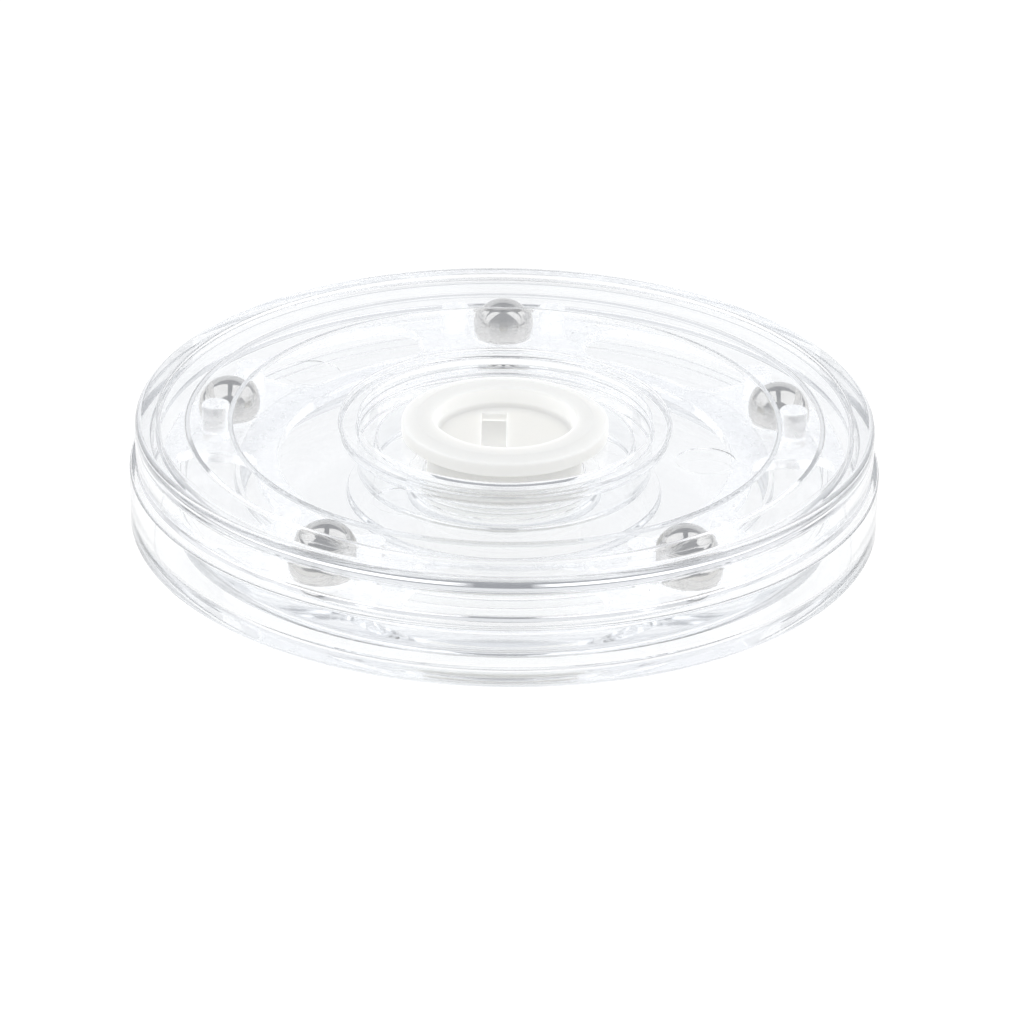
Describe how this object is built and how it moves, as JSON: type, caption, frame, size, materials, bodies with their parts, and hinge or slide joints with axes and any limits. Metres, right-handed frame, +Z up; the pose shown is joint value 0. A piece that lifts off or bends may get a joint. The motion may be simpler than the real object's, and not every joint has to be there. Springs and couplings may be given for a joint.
{
  "type": "turntable display stand",
  "caption": "Flat clear round turntable: a top plate that turns freely on caged steel balls over a base tray, held by a milky centre spindle.",
  "frame": {"origin": "centre of the resting face, on the spindle axis", "axes": "+Z up along the spindle axis, +X to the right and -Y towards the viewer"},
  "size_m": [0.1016, 0.1016, 0.0154],
  "materials": {
    "clear_plastic": "polished clear moulding with fine handling scratches",
    "cage_plastic": "clear moulding, slightly hazy",
    "milky_plastic": "natural milky nylon, satin",
    "polished_steel": "bearing-ball polish"
  },
  "bodies": {
    "base": {"base_tray": "clear_plastic", "centre_spindle": "milky_plastic"},
    "top": {"top_plate": "clear_plastic"},
    "cage": {"ball_cage": "cage_plastic"},
    "ball_1": {"steel_ball_1": "polished_steel"},
    "ball_2": {"steel_ball_2": "polished_steel"},
    "ball_3": {"steel_ball_3": "polished_steel"},
    "ball_4": {"steel_ball_4": "polished_steel"},
    "ball_5": {"steel_ball_5": "polished_steel"}
  },
  "joints": [
    {"name": "top_spin", "type": "hinge", "parent": "base", "child": "top", "pos_m": [0, 0, 0.012], "axis": [0, 0, 1], "continuous": true},
    {"name": "cage_spin", "type": "hinge", "parent": "base", "child": "cage", "pos_m": [0, 0, 0.0075], "axis": [0, 0, 1], "continuous": true},
    {"name": "ball_1_roll", "type": "hinge", "parent": "cage", "child": "ball_1", "pos_m": [-0.00049, 0.0398, 0.0093], "axis": [-0.0122, 0.9999, 0], "continuous": true},
    {"name": "ball_2_roll", "type": "hinge", "parent": "cage", "child": "ball_2", "pos_m": [-0.038, 0.01184, 0.0093], "axis": [-0.9548, 0.2974, 0], "continuous": true},
    {"name": "ball_3_roll", "type": "hinge", "parent": "cage", "child": "ball_3", "pos_m": [-0.023, -0.03248, 0.0093], "axis": [-0.5779, -0.8161, 0], "continuous": true},
    {"name": "ball_4_roll", "type": "hinge", "parent": "cage", "child": "ball_4", "pos_m": [0.02379, -0.03191, 0.0093], "axis": [0.5976, -0.8018, 0], "continuous": true},
    {"name": "ball_5_roll", "type": "hinge", "parent": "cage", "child": "ball_5", "pos_m": [0.0377, 0.01276, 0.0093], "axis": [0.9472, 0.3206, 0], "continuous": true}
  ],
  "couplings": [
    {"joint": "cage_spin", "follows": "top_spin", "ratio": 0.5},
    {"joint": "ball_1_roll", "follows": "top_spin", "ratio": -4.6824},
    {"joint": "ball_2_roll", "follows": "top_spin", "ratio": -4.6824},
    {"joint": "ball_3_roll", "follows": "top_spin", "ratio": -4.6824},
    {"joint": "ball_4_roll", "follows": "top_spin", "ratio": -4.6824},
    {"joint": "ball_5_roll", "follows": "top_spin", "ratio": -4.6824}
  ]
}
